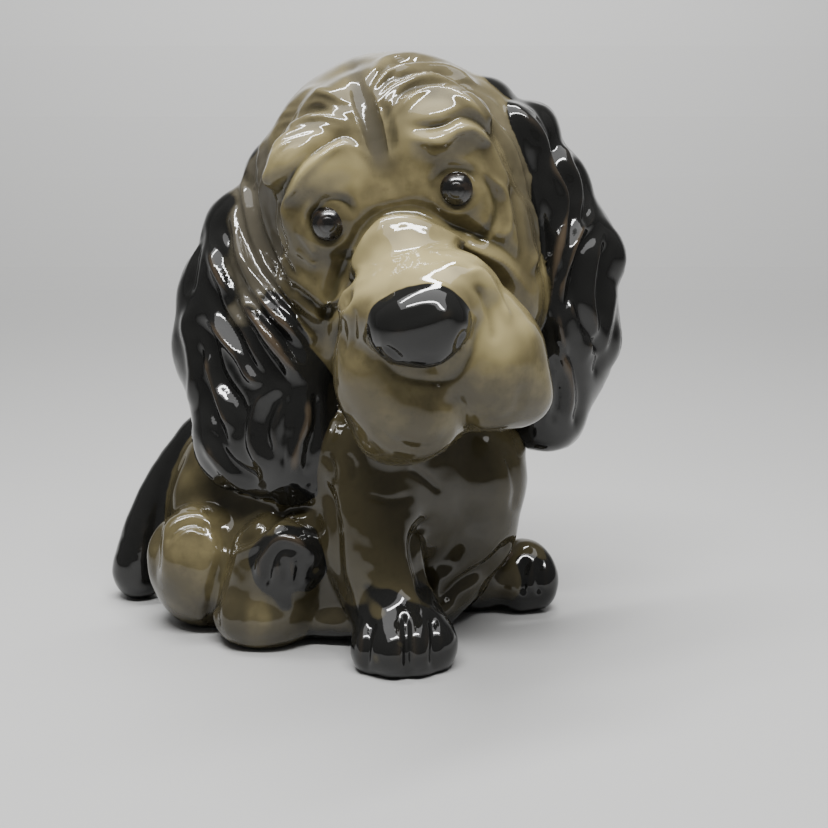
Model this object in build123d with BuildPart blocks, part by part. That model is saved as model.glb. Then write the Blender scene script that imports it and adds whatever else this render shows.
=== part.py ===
"""A seated puppy figurine in glazed earthenware, as the castings that are luted together before firing.

The torso and the head are hollow slip castings that share one cavity through the neck. The ears,
legs and tail are solid castings, each cut to the surface that it is luted to. The eyes are beads
in sockets and the nose is a pressed button. +Z is up, the puppy looks along -Y, left and right
are the puppy's own, and the origin is the middle of the underside. All sizes are in millimetres.
"""

from build123d import *
from math import sqrt
import os

# Castings
casting_wall = 4.5
vent_hole_diameter = 3.5
vent_hole_place = (-14, 18)

# Torso: level rings of (height, centre x, centre y, half length, half width), from the foot upwards
torso_turn = -36
torso_height = 62
torso_rings = (
    (0, -12, 18, 41, 27),
    (10, -14, 18, 48, 34),
    (28, -12, 18, 47, 34),
    (46, -1, 17, 41, 31),
    (torso_height, 10, 14, 31, 27),
)

# Skull and the neck inside it, both placed from the torso's top
skull_lift = 57
skull_place = (11, 17)
skull_radius = 41
neck_ring = (torso_height + 30, 11, 15, 30, 27)
head_tilt = 15
head_turn = -1

# Muzzle sections of (reach ahead of the skull's middle, side, drop, half width, half height, corner)
muzzle_sections = (
    (13, 1, 29, 26, 24, 20),
    (37, 2, 32, 28, 27, 21),
    (53, 2, 34, 27, 24, 20),
    (63, 1, 29, 21, 18, 16),
    (68, 0, 26, 13, 11, 9),
)

# Eyes and nose
eye_diameter = 9.6
eye_spacing = 34
eye_height = 2
eye_stand_out = 2.2
nose_drop = 24
nose_sections = (
    (59, 11, 8.5),
    (66, 12.5, 10),
    (71, 11, 8.5),
    (74, 6, 4.5),
)

# Ears: level rings of (height, out from the skull's side, forward of its middle, half width,
# half thickness), with heights counted from the skull's middle
right_ear_turn = -38
right_ear_rings = (
    (-77, -9, 25, 9, 4),
    (-69, -4, 21, 20, 7),
    (-56, 2, 15, 27, 8),
    (-39, 5, 10, 26, 8),
    (-23, 4, 6, 23, 9),
    (-7, 0, 3, 18, 9),
    (15, -8, 1, 9, 7),
)
left_ear_turn = 62
left_ear_rings = (
    (-68, 4, 3, 9, 6),
    (-59, 6, 2, 15, 8),
    (-45, 9, 2, 20, 9),
    (-29, 11, 1, 22, 9),
    (-13, 9, 0, 21, 10),
    (3, 5, 0, 19, 10),
    (17, -3, 0, 15, 10),
    (31, -14, 0, 9, 7),
)

# Legs and tail
right_foreleg_turn = 105
right_foreleg_rings = (
    (0, 12, -24, 13, 12),
    (8, 12, -24, 16, 14),
    (16, 11, -21, 14, 12.5),
    (24, 9, -15, 11, 11),
    (38, 6, -11, 13, 14),
    (54, 5, -5, 13, 18),
)
left_foreleg_turn = -60
left_foreleg_rings = (
    (0, 17, 6, 11, 9),
    (8, 21, 6, 13, 12),
    (18, 27, 9, 15, 14),
    (32, 31, 11, 17, 16),
    (49, 34, 13, 16, 14),
)
haunch_turn = -36
haunch_rings = (
    (0, -40, 3, 13, 14),
    (12, -44, 2, 15, 17),
    (26, -45, 6, 13, 15),
    (37, -44, 11, 7, 9),
)
hind_foot_turn = 10
hind_foot_rings = (
    (0, -24, -7, 12, 11),
    (10, -22, -9, 14, 13),
    (24, -20, -11, 12, 13),
    (34, -20, -8, 7, 8),
)
left_hind_leg_turn = -12
left_hind_leg_rings = (
    (0, 37, 20, 17, 8),
    (8, 38, 20, 19.5, 10.5),
    (14, 38, 20, 18, 9.5),
    (19, 34, 21, 12, 6),
)
tail_turn = -20
tail_rings = (
    (0, -67, 26, 6, 5),
    (7, -67, 26, 8, 7),
    (20, -61, 29, 11, 9),
    (34, -54, 33, 10, 9),
    (48, -45, 36, 7, 6),
)

skull_middle = Vector(*skull_place, torso_height + skull_lift)
head_right = Vector(1, 0, 0).rotate(Axis.Z, head_turn).rotate(Axis.Y, -head_tilt)
head_ahead = Vector(0, -1, 0).rotate(Axis.Z, head_turn).rotate(Axis.Y, -head_tilt)
head_up = head_ahead.cross(head_right)


def head_point(right, ahead, up):
    """A point measured from the skull's middle along the tilted head's own directions."""
    return skull_middle + head_right * right + head_ahead * ahead + head_up * up


def head_plane(right, ahead, up):
    """A plane across the head, facing the way that the puppy looks."""
    return Plane(origin=head_point(right, ahead, up), x_dir=head_right, z_dir=head_ahead)


def ring_solid(rings, turn, inset=0):
    """A solid lofted through level elliptical rings, each drawn in by the inset."""
    with BuildPart() as solid:
        for height, x, y, half_length, half_width in rings:
            with BuildSketch(Plane.XY.offset(height)):
                with Locations((x, y)):
                    Ellipse(half_length - inset, half_width - inset, rotation=turn)
        loft()
    return solid.part


def ear_solid(side, rings, turn):
    """An ear lofted through level rings that hang beside the skull; side is -1 for the right."""
    placed_rings = [
        (skull_middle.Z + up, skull_middle.X + side * (skull_radius + out), skull_middle.Y - forward, *half_sizes)
        for up, out, forward, *half_sizes in rings
    ]
    return ring_solid(placed_rings, turn)


def muzzle_solid(inset=0):
    """The muzzle with its hanging lips, lofted forward from inside the skull."""
    with BuildPart() as solid:
        for reach, side, drop, half_width, half_height, corner in muzzle_sections:
            with BuildSketch(head_plane(side, reach - inset, -drop)):
                RectangleRounded(2 * (half_width - inset), 2 * (half_height - inset), corner - inset)
        loft()
    return solid.part


def head_solid(inset=0):
    """Skull, muzzle and neck as one, with the neck standing on the torso's top ring."""
    with BuildPart() as solid:
        with Locations(skull_middle):
            Sphere(skull_radius - inset)
        add(muzzle_solid(inset))
        add(ring_solid((torso_rings[-1], neck_ring), torso_turn, inset))
    return solid.part


def eye_point(side):
    """The middle of an eye bead, sunk into the skull until only its front stands out."""
    skull_surface = sqrt(skull_radius ** 2 - (eye_spacing / 2) ** 2 - eye_height ** 2)
    return head_point(side * eye_spacing / 2, skull_surface + eye_stand_out - eye_diameter / 2, eye_height)


torso_solid = ring_solid(torso_rings, torso_turn)
outer_head = head_solid()

with BuildPart() as torso_cavity:
    add(ring_solid(torso_rings, torso_turn, casting_wall))
    split(bisect_by=Plane.XY.offset(casting_wall), keep=Keep.TOP)

with BuildPart() as torso_shell:
    add(torso_solid)
    add(torso_cavity.part, mode=Mode.SUBTRACT)
    with BuildSketch(Plane.XY):
        with Locations(vent_hole_place):
            Circle(vent_hole_diameter / 2)
    extrude(amount=casting_wall, mode=Mode.SUBTRACT)

with BuildPart() as right_eye:
    with Locations(eye_point(-1)):
        Sphere(eye_diameter / 2)

with BuildPart() as left_eye:
    with Locations(eye_point(1)):
        Sphere(eye_diameter / 2)

with BuildPart() as head_shell:
    add(outer_head)
    add(torso_solid, mode=Mode.SUBTRACT)
    add(head_solid(casting_wall), mode=Mode.SUBTRACT)
    add(right_eye.part, mode=Mode.SUBTRACT)
    add(left_eye.part, mode=Mode.SUBTRACT)

with BuildPart() as nose:
    for reach, half_width, half_height in nose_sections:
        with BuildSketch(head_plane(0, reach, -nose_drop)):
            Ellipse(half_width, half_height)
    loft()
    add(outer_head, mode=Mode.SUBTRACT)

with BuildPart() as right_ear:
    add(ear_solid(-1, right_ear_rings, right_ear_turn))
    add(torso_solid, mode=Mode.SUBTRACT)
    add(outer_head, mode=Mode.SUBTRACT)

with BuildPart() as left_ear:
    add(ear_solid(1, left_ear_rings, left_ear_turn))
    add(outer_head, mode=Mode.SUBTRACT)

with BuildPart() as right_foreleg:
    add(ring_solid(right_foreleg_rings, right_foreleg_turn))
    add(torso_solid, mode=Mode.SUBTRACT)
    add(outer_head, mode=Mode.SUBTRACT)
    add(right_ear.part, mode=Mode.SUBTRACT)

with BuildPart() as left_foreleg:
    add(ring_solid(left_foreleg_rings, left_foreleg_turn))
    add(torso_solid, mode=Mode.SUBTRACT)
    add(right_foreleg.part, mode=Mode.SUBTRACT)

with BuildPart() as right_hind_leg:
    add(ring_solid(haunch_rings, haunch_turn))
    add(ring_solid(hind_foot_rings, hind_foot_turn))
    add(torso_solid, mode=Mode.SUBTRACT)
    add(right_foreleg.part, mode=Mode.SUBTRACT)

with BuildPart() as left_hind_leg:
    add(ring_solid(left_hind_leg_rings, left_hind_leg_turn))
    add(torso_solid, mode=Mode.SUBTRACT)
    add(left_foreleg.part, mode=Mode.SUBTRACT)

with BuildPart() as tail:
    add(ring_solid(tail_rings, tail_turn))
    add(torso_solid, mode=Mode.SUBTRACT)
    add(right_hind_leg.part, mode=Mode.SUBTRACT)

pieces = {
    "torso_shell": torso_shell,
    "head_shell": head_shell,
    "right_ear": right_ear,
    "left_ear": left_ear,
    "right_eye": right_eye,
    "left_eye": left_eye,
    "nose": nose,
    "right_foreleg": right_foreleg,
    "left_foreleg": left_foreleg,
    "right_hind_leg": right_hind_leg,
    "left_hind_leg": left_hind_leg,
    "tail": tail,
}

os.makedirs("parts", exist_ok=True)
for name, piece in pieces.items():
    piece.part.label = name
    export_step(piece.part, f"parts/{name}.step")
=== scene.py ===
import math

import bmesh
import bpy
import numpy as np
from mathutils import Matrix, Vector


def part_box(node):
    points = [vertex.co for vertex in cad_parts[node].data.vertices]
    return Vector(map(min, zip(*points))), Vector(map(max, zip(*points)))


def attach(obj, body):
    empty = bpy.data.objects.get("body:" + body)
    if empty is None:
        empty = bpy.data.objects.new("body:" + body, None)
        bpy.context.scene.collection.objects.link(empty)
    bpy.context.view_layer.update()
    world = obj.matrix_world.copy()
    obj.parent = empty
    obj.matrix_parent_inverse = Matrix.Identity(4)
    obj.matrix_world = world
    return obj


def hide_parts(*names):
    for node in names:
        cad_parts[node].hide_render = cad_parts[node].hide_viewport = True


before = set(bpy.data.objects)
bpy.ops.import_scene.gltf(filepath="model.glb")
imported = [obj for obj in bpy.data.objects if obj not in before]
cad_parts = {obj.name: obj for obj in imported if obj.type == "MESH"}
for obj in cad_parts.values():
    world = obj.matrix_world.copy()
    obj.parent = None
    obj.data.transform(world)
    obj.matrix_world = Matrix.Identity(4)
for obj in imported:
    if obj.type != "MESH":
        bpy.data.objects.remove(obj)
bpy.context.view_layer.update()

# The puppy is worked like wet clay: lumps are pressed together, the whole is skinned as one surface,
# folds and hair are drawn into it with a loop tool, and it is then cut into the pieces of the casting.
# Lumps and tool marks are in millimetres; the row's frame is in metres.

mm = 0.001


# A place measured from between the eyes, in the row's frame.
def headPlace(across, ahead, up):
    return eyeMiddle + np.array((across, ahead, up)) @ headAxes


def boxMiddle(node):
    low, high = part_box(node)
    return (low + high) / 2


# the head's own directions
rightEye = boxMiddle("right_eye") / mm
leftEye = boxMiddle("left_eye") / mm
eyeMiddle = np.array((rightEye + leftEye) / 2)
acrossHead = np.array((leftEye - rightEye).normalized())
aheadOfHead = np.array((0.0, -1.0, 0.0))
aheadOfHead -= acrossHead * aheadOfHead.dot(acrossHead)
aheadOfHead /= np.linalg.norm(aheadOfHead)
upHead = np.cross(aheadOfHead, acrossHead)
headAxes = np.stack((acrossHead, aheadOfHead, upHead))   # rows: across, ahead, up
headRoll = 15   # how far the drawing plane is rolled for strokes on the head, degrees

# viewpoint
view = {
    "aim": (15.5, 11.0, 60.0),     # the middle of the figure, mm
    "distance": 400.0,             # mm
    "elevation": 12.0,             # degrees
    "fieldOfView": 33.05,          # degrees
}
tilt = math.radians(view["elevation"])
sightLine = np.array((0.0, math.cos(tilt), -math.sin(tilt)))
sightAcross = np.array((1.0, 0.0, 0.0))
sightUp = np.array((0.0, math.sin(tilt), math.cos(tilt)))
eyePoint = np.array(view["aim"]) - sightLine * view["distance"]


# Places on a plane through the eyes, square to the sight line, in mm across and up.
def drawingPlane(points, roll):
    ray = points - eyePoint
    reach = (eyeMiddle - eyePoint) @ sightLine
    onPlane = eyePoint + ray * (reach / (ray @ sightLine))[:, None] - eyeMiddle
    turn = math.radians(roll)
    across = sightAcross * math.cos(turn) + sightUp * math.sin(turn)
    up = sightUp * math.cos(turn) - sightAcross * math.sin(turn)
    return np.stack((onPlane @ across, onPlane @ up), axis=1)


# clay lumps
# Head lumps are (middle, radii), across, ahead and up from between the eyes. Body lumps are (middle,
# radii, turn about the vertical) in the row's frame.
headLumps = {
    "skull": ((0.5, -34, 0.5), (39, 38, 39.5)),
    "forehead": ((0, -14, 15), (25, 15, 20)),
    "rightBrow": ((-16.5, -6, 15), (13.5, 11, 9.5)),
    "leftBrow": ((17, -6, 15.5), (13.5, 11, 9.5)),
    "rightEyeMound": ((-17, -8, 0), (14, 10.5, 14)),
    "leftEyeMound": ((17, -8, 0), (14, 10.5, 14)),
    "rightCheek": ((-22, -14, -17), (13, 14, 17)),
    "rightCheekFoot": ((-26, -17, -30), (11, 12, 15)),
    "leftCheek": ((21, -13, -14), (12.5, 14, 16)),
    "leftCheekFoot": ((25, -15, -28), (8.5, 12, 16)),
    "bridge": ((0, 2, -13), (13, 14, 11)),
    "upperMuzzle": ((1, 14, -24), (20, 19, 13)),
    "rightJowl": ((-11, 10, -42), (15, 17, 20)),
    "leftJowl": ((12, 9, -41), (15, 17, 19)),
    "leftJowlSide": ((18, 8, -45), (10.5, 12, 15)),
    "leftJowlCorner": ((20.5, 6, -56), (6.5, 8, 6.5)),
    "leftJowlFoot": ((13, 8, -54), (12, 12, 7.5)),
    "rightLip": ((-7, 15, -50), (12, 11, 12)),
    "rightJowlFoot": ((-13, 9, -54), (11, 12, 10)),
    "chin": ((-6, 5, -55), (12, 12, 9)),
}
noseLumps = {
    "top": ((0, 30, -23.5), (9.6, 8, 4.6)),
    "tip": ((0.3, 32.5, -28), (9.6, 6.5, 6.2)),
    "rightWing": ((-6.2, 30, -28), (4.6, 6, 6.2)),
    "leftWing": ((6.8, 30, -28), (4.6, 6, 6.2)),
    "foot": ((0.8, 30, -33), (6.4, 6.5, 4.6)),
}
bodyLumps = {
    "torso_shell": (
        ((-16, 18, 20), (40, 30, 27), -36),
        ((-6, 17, 36), (36, 29, 26), -36),
        ((8, 8, 44), (26, 25, 30), 0),
        ((10, 14, 66), (28, 25, 20), 0),
        ((-38, 24, 30), (20, 18, 24), 0),
        ((-12, 18, 6), (44, 31, 10), -36),
        ((30, 18, 70), (16, 18, 16), 0),
        ((8, 24, 55), (29, 25, 18), 0),
        ((-8, 26, 46), (32, 25, 18), -20),
    ),
    "right_ear": (
        ((-24, 15, 124), (9, 7, 12), -38),
        ((-31, 13, 108), (17, 8, 16), -38),
        ((-35, 9, 92), (21, 8.5, 18), -38),
        ((-33, 5, 76), (25, 9, 18), -38),
        ((-29, 0, 62), (23, 9, 16), -38),
        ((-25, -4, 54), (17, 8, 13), -38),
        ((-45, 18, 80), (9.5, 7, 12), -38),
        ((-36, 1, 53), (12, 8, 12), -38),
        ((-17, -8, 55), (9.5, 8, 16), -20),
        ((-15, -7, 70), (8.5, 8, 15), -10),
        ((-21, -5, 84), (10, 9, 13), -20),
    ),
    "left_ear": (
        ((36, 17, 145), (10, 7, 9), 62),
        ((46, 17, 134), (15, 8, 13), 62),
        ((55, 17, 120), (19, 9, 15), 62),
        ((61, 17, 104), (20, 10, 17), 62),
        ((62, 15, 88), (21, 9.5, 17), 62),
        ((61, 15, 74), (18, 9, 14), 62),
        ((57, 14, 61), (11, 7.5, 10), 62),
        ((54, 12, 57), (9, 7.5, 8), 30),
        ((50, 17, 137.5), (7.5, 6, 9), 62),
        ((68, 19, 104), (6, 8, 9), 62),
        ((67, 17, 80), (7, 8, 8), 62),
        ((51, 9, 98), (7.5, 8, 26), 20),
        ((51, 8, 76), (9, 9, 17), 20),
        ((43, 7, 133), (8, 7, 13), 35),
    ),
    "right_foreleg": (
        ((4, -8, 50), (15, 14, 16), 0),
        ((4, -14, 34), (13.5, 12, 18), 0),
        ((6, -17, 22), (12, 11, 14), 0),
        ((10, -21, 13), (11, 11, 10), 0),
        ((13, -26, 8), (12.5, 12, 9.5), 0),
        ((3.5, -32, 5), (4.5, 6, 6), 10),
        ((10, -35, 5.5), (5, 6.5, 6.5), 0),
        ((16.5, -34, 5.5), (5, 6.5, 6.5), 0),
        ((22, -30, 5), (4.5, 6, 6), -10),
    ),
    "left_foreleg": (
        ((33, 10, 42), (15, 16, 20), 0),
        ((31, 8, 26), (14, 13, 14), 0),
        ((24, 6, 14), (12, 11, 11), 0),
        ((17, 3, 6), (11, 12, 8), 0),
    ),
    "right_hind_leg": (
        ((-43, 6, 16), (18, 17, 18), -36),
        ((-48, 1, 21), (12, 12, 12), 0),
        ((-24, -10, 17), (13, 11, 18), 0),
        ((-27, -13, 8), (13, 10, 9), 0),
        ((-18, -17, 26), (8.5, 6.5, 9), 0),
    ),
    "left_hind_leg": (
        ((30, 18, 8), (18, 10, 10), -8),
        ((48, 18, 10), (9.5, 9, 10), 0),
        ((52.5, 13.5, 8), (4.8, 5, 7), 0),
        ((46.5, 12, 7), (4.8, 5, 6.5), 0),
    ),
    "tail": (
        ((-46, 36, 47), (8, 8, 9), 0),
        ((-50, 35, 43), (8, 8, 10), 0),
        ((-54, 34, 37.5), (8.3, 8, 10), 0),
        ((-57.5, 32, 32), (8.5, 8, 10), 0),
        ((-61, 30, 26), (8.5, 8, 10), 0),
        ((-64, 28, 19), (8.3, 8, 10), 0),
        ((-66.8, 27, 12), (8, 8, 9), 0),
        ((-68.5, 26, 7), (7.2, 7.5, 7.5), 0),
    ),
}
clay = {
    "softness": 1.7,       # how far two lumps run into each other, mm
    "reach": 9,            # past a lump's longest radius, where it is still felt, mm
    "meshSize": 0.66,
    "settlings": 4,        # rounds of pulling the mesh onto the lumps
    "settlingStep": 1.5,   # the most that one round moves a point, mm
}

pieceNames = ["head_shell", "nose"] + list(bodyLumps)
middles, radii, axes, owners = [], [], [], []
for number, lumps in enumerate((headLumps, noseLumps)):
    for middle, sizes in lumps.values():
        middles.append(eyeMiddle + np.array(middle) @ headAxes)
        radii.append(sizes)
        axes.append(headAxes)
        owners.append(number)
for number, name in enumerate(bodyLumps, start=2):
    for middle, sizes, turn in bodyLumps[name]:
        middles.append(middle)
        radii.append(sizes)
        cosine, sine = math.cos(math.radians(turn)), math.sin(math.radians(turn))
        axes.append(np.array(((cosine, sine, 0), (-sine, cosine, 0), (0, 0, 1))))
        owners.append(number)
middles = np.array(middles, float)
radii = np.array(radii, float)
axes = np.array(axes, float)
owners = np.array(owners)


# Distance of points from one lump's skin, and the direction away from it.
def lumpDistances(points, number):
    local = (points - middles[number]) @ axes[number].T
    scaled = local / radii[number]
    length = np.linalg.norm(scaled, axis=1) + 1e-9
    slope = scaled / radii[number]
    slopeLength = np.linalg.norm(slope, axis=1) + 1e-9
    distance = length * (length - 1) / slopeLength
    return distance, (slope / slopeLength[:, None]) @ axes[number]


# Distance from the skin of all lumps run together, its direction, and the nearest lump's owner.
def claySkin(points):
    total = np.full(len(points), 1e-12)
    direction = np.zeros_like(points)
    nearest = np.full(len(points), 1e9)
    owner = np.zeros(len(points), int)
    for number in range(len(middles)):
        reach = radii[number].max() + clay["reach"]
        near = np.where((np.abs(points - middles[number]) < reach).all(1))[0]
        distance, away = lumpDistances(points[near], number)
        weight = np.exp(-np.clip(distance, -30, 60) / clay["softness"])
        total[near] += weight
        direction[near] += away * weight[:, None]
        closer = distance < nearest[near]
        nearest[near[closer]] = distance[closer]
        owner[near[closer]] = owners[number]
    direction /= np.linalg.norm(direction, axis=1)[:, None] + 1e-12
    return -clay["softness"] * np.log(total + 1e-30), direction, owner


# All lumps as one closed, evenly divided mesh.
def skinnedLumps():
    work = bmesh.new()
    for number in range(len(middles)):
        place = Matrix.Translation(Vector(middles[number] * mm))
        turned = Matrix(axes[number].T.tolist()).to_4x4()
        size = Matrix.Diagonal(Vector((*(radii[number] * mm), 1)))
        bmesh.ops.create_icosphere(work, subdivisions=4, radius=1, matrix=place @ turned @ size)
    mesh = bpy.data.meshes.new("clayLumps")
    work.to_mesh(mesh)
    work.free()
    lumpsObject = bpy.data.objects.new("clayLumps", mesh)
    bpy.context.scene.collection.objects.link(lumpsObject)
    remesh = lumpsObject.modifiers.new("skin", "REMESH")
    remesh.mode = "VOXEL"
    remesh.voxel_size = clay["meshSize"] * mm
    remeshed = lumpsObject.evaluated_get(bpy.context.evaluated_depsgraph_get())
    skinned = bpy.data.meshes.new_from_object(remeshed)
    bpy.data.objects.remove(lumpsObject)
    return skinned


print("pressing the lumps together")
skin = skinnedLumps()
vertexCount = len(skin.vertices)
flat = np.zeros(vertexCount * 3)
skin.vertices.foreach_get("co", flat)
points = flat.reshape(-1, 3) / mm
edgeEnds = np.zeros(len(skin.edges) * 2, int)
skin.edges.foreach_get("vertices", edgeEnds)
edgeEnds = edgeEnds.reshape(-1, 2)
neighbourCount = np.bincount(edgeEnds.ravel(), minlength=vertexCount).astype(float)[:, None]


# The mean of each vertex's neighbours.
def neighbourMean(values):
    total = np.zeros_like(values)
    for column in range(values.shape[1]):
        total[:, column] = (np.bincount(edgeEnds[:, 0], values[edgeEnds[:, 1], column], vertexCount)
                            + np.bincount(edgeEnds[:, 1], values[edgeEnds[:, 0], column], vertexCount))
    return total / neighbourCount


def smoothed(values, rounds, share=0.5):
    for _ in range(rounds):
        values = values + (neighbourMean(values) - values) * share
    return values


def surfaceNormals():
    skin.vertices.foreach_set("co", (points * mm).ravel())
    skin.update()
    normals = np.zeros(vertexCount * 3, np.float32)
    skin.vertex_normals.foreach_get("vector", normals)
    return normals.reshape(-1, 3).astype(float)


for _ in range(clay["settlings"]):
    distance, direction, owner = claySkin(points)
    points -= direction * np.clip(distance, -clay["settlingStep"], clay["settlingStep"])[:, None]
points = smoothed(points, 2)
print("skinned with", vertexCount, "points")

# the loop tool
loopTool = {
    "edgeOn": 0.05,    # cosine of the slant past which it no longer marks the clay
    "easing": 0.25,    # over which it starts to bite
    "fade": 0.22,      # share of a mark's length over which it tapers at each end
    "margin": 3.2,     # widths out to which a mark is felt
}


# A Catmull-Rom line through the corners.
def smoothLine(corners, steps=8):
    corners = np.array(corners, float)
    ends = np.vstack((2 * corners[0] - corners[1], corners, 2 * corners[-1] - corners[-2]))
    line = []
    for k in range(1, len(ends) - 2):
        a, b, c, d = ends[k - 1:k + 3]
        for t in np.linspace(0, 1, steps, endpoint=False):
            line.append(0.5 * (2 * b + (c - a) * t + (2 * a - 5 * b + 4 * c - d) * t ** 2
                               + (3 * b - a - 3 * c + d) * t ** 3))
    line.append(corners[-1])
    return np.array(line)


# Signed distance of places from a line, left of its run being positive, and how far along it they are.
def lineDistance(places, line):
    best = np.full(len(places), 1e9)
    along = np.zeros(len(places))
    side = np.zeros(len(places))
    spans = np.linalg.norm(np.diff(line, axis=0), axis=1)
    starts = np.concatenate(((0,), np.cumsum(spans)))
    for k in range(len(line) - 1):
        run = line[k + 1] - line[k]
        offset = places - line[k]
        share = np.clip(offset @ run / (run @ run + 1e-12), 0, 1)
        gap = offset - share[:, None] * run
        distance = np.hypot(gap[:, 0], gap[:, 1])
        closer = distance < best
        best[closer] = distance[closer]
        along[closer] = (starts[k] + share[closer] * spans[k]) / starts[-1]
        side[closer] = np.sign(run[0] * offset[closer, 1] - run[1] * offset[closer, 0])
    return best, side, along


def taper(along, fade):
    ends = np.minimum(along, 1 - along) / max(fade, 1e-6)
    rise = np.clip(ends, 0, 1)
    return rise * rise * (3 - 2 * rise)


# Presses marks into the pieces named, as seen along the sight line. A mark is (kind, width, height,
# corners): kind is groove, ridge or fold, a fold being raised on the left of its run and sunk on the
# right.
def drawMarks(marks, roll, names, strength=1.0):
    global points
    normals = surfaceNormals()
    allowed = np.isin(owner, [pieceNames.index(name) for name in names])
    toViewer = eyePoint - points
    toViewer /= np.linalg.norm(toViewer, axis=1)[:, None]
    turned = (normals * toViewer).sum(1)
    chosen = np.where(allowed & (turned > loopTool["edgeOn"]))[0]
    places = drawingPlane(points[chosen], roll)
    grazing = np.clip((turned[chosen] - loopTool["edgeOn"]) / loopTool["easing"], 0, 1)
    height = np.zeros(len(chosen))
    for kind, width, amount, corners in marks:
        line = smoothLine(corners)
        margin = loopTool["margin"] * width
        low, high = line.min(0) - margin, line.max(0) + margin
        near = np.where(((places > low) & (places < high)).all(1))[0]
        if not len(near):
            continue
        distance, side, along = lineDistance(places[near], line)
        reach = distance / width
        if kind == "fold":
            profile = side * reach * np.exp(0.5 - 0.5 * reach ** 2)
        else:
            profile = np.exp(-reach ** 2)
        sign = -1 if kind == "groove" else 1
        height[near] += sign * amount * strength * profile * taper(along, loopTool["fade"])
    points[chosen] += normals[chosen] * (height * grazing)[:, None]


faceMarks = (
    # folds round the puppy's right eye
    ("groove", 1.6, 1.5, ((-29, -8), (-31, 2), (-29, 9), (-25, 13), (-19, 18), (-12, 21), (-7, 21),
                          (-3, 17))),
    ("ridge", 1.2, 0.7, ((-28, -2), (-27, 7), (-24, 11), (-19, 15), (-12, 18), (-8, 18.5), (-5, 15))),
    ("ridge", 1.6, 1.2, ((-33, -6), (-32, 6), (-30, 13), (-27, 18), (-22, 24), (-14, 27), (-9, 26),
                         (-6, 23))),
    ("groove", 1.5, 1.2, ((-34, -4), (-34, 8), (-31, 17), (-26, 24), (-19, 29), (-12, 30), (-4, 27))),
    ("ridge", 1.4, 1.0, ((-35, 2), (-34, 12), (-30, 20), (-24, 28), (-18, 32.5), (-13, 34),
                         (-8, 32.5), (-2, 31))),
    ("groove", 1.1, 0.8, ((-37, -10), (-38, 4), (-36, 13), (-31, 23), (-24, 31), (-14, 37))),
    ("groove", 0.9, 0.6, ((-36, -14), (-39, -2), (-39.5, 8), (-36, 18), (-30, 27))),
    ("groove", 0.9, 0.6, ((-34, -20), (-38, -10), (-41, 0), (-41, 9))),
    # below the right eye
    ("ridge", 0.9, 0.5, ((-26, 1), (-24.5, -1), (-23, -5), (-22, -8))),
    ("ridge", 0.8, 0.45, ((-27, -4), (-25.5, -6), (-24, -8.5), (-22, -10))),
    ("ridge", 1.3, 0.9, ((-30, -9), (-28, -12), (-26, -16), (-23.5, -20), (-20, -19), (-16.5, -15))),
    ("groove", 1.3, 1.0, ((-29, -14), (-26, -19), (-23.5, -22.5), (-19, -21), (-15, -16))),
    ("ridge", 1.1, 0.7, ((-30, -14), (-28.5, -18), (-26, -22), (-24, -25))),
    ("groove", 1.0, 0.4, ((-31, -17), (-29, -22), (-26, -27))),
    ("ridge", 1.0, 0.4, ((-31.5, -20), (-30, -25), (-28, -29))),
    ("groove", 0.7, 0.4, ((-19, -8), (-15, -9.5), (-12, -9))),
    # folds round the left eye
    ("ridge", 1.4, 1.0, ((7, 17), (12, 14.5), (17, 13), (21, 14.5), (26, 13.5), (29, 7), (30, 0),
                         (29, -7))),
    ("groove", 1.5, 1.3, ((7, 20), (12, 18), (18, 17), (24, 18), (29, 13), (31, 5), (31, -4))),
    ("ridge", 1.3, 1.1, ((6, 23), (9, 24), (14, 26), (20, 25.5), (25, 22), (29, 15), (31.5, 6), (32, -5))),
    ("groove", 1.0, 0.9, ((4, 25), (9, 27.5), (15, 28.5), (21, 27), (27, 21), (31, 12), (33, 2),
                          (33, -10))),
    ("ridge", 0.9, 0.8, ((4, 27.5), (10, 30), (17, 30), (23.5, 26), (29, 18.5), (33, 8), (34, 0),
                         (34, -12))),
    ("groove", 0.8, 0.7, ((3, 29), (9, 32), (17, 31.5), (24, 28), (30, 20), (34, 9))),
    ("ridge", 0.8, 0.7, ((2, 31), (8, 33.5), (15.5, 33.3), (24, 30), (30, 23))),
    ("groove", 0.8, 0.7, ((2, 33), (8, 35.5), (16, 35), (25, 31.5), (31, 24))),
    ("ridge", 0.8, 0.6, ((3, 35), (8, 37), (15, 37), (23, 34.5), (29, 29))),
    ("groove", 1.0, 0.8, ((24, 3), (26, -2), (26, -8), (22, -13), (17, -14))),
    ("ridge", 1.0, 0.7, ((26.5, 2), (28.5, -4), (28, -12), (25, -17))),
    ("groove", 0.9, 0.7, ((30, -1), (31, -9), (30, -18), (28, -24))),
    ("ridge", 0.9, 0.7, ((33, -5), (34, -12), (33, -20), (30, -27))),
    ("groove", 0.8, 0.6, ((35, -2), (36, -12), (35, -21), (31, -30))),
    # furrow down the middle of the brow
    ("groove", 1.6, 0.5, ((0, 46), (-0.5, 36), (-1, 30), (0, 24), (0, 18), (0.5, 11))),
    ("ridge", 1.1, 0.35, ((-2.8, 35), (-3.2, 27), (-2.6, 20), (-1.8, 10))),
    ("ridge", 1.1, 0.35, ((2.4, 33), (3.2, 25), (2.8, 18), (2.4, 9))),
    ("groove", 0.8, 0.4, ((4.6, 28), (5.2, 21), (4, 13))),
    # eye sockets
    ("groove", 1.2, 0.9, ((-22.5, -2), (-21, 3.5), (-16.5, 6), (-11.5, 4), (-10, -1))),
    ("groove", 1.2, 0.9, ((10.5, -2), (12, 3.5), (16.5, 6), (21.5, 4), (23, -1))),
)
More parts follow.
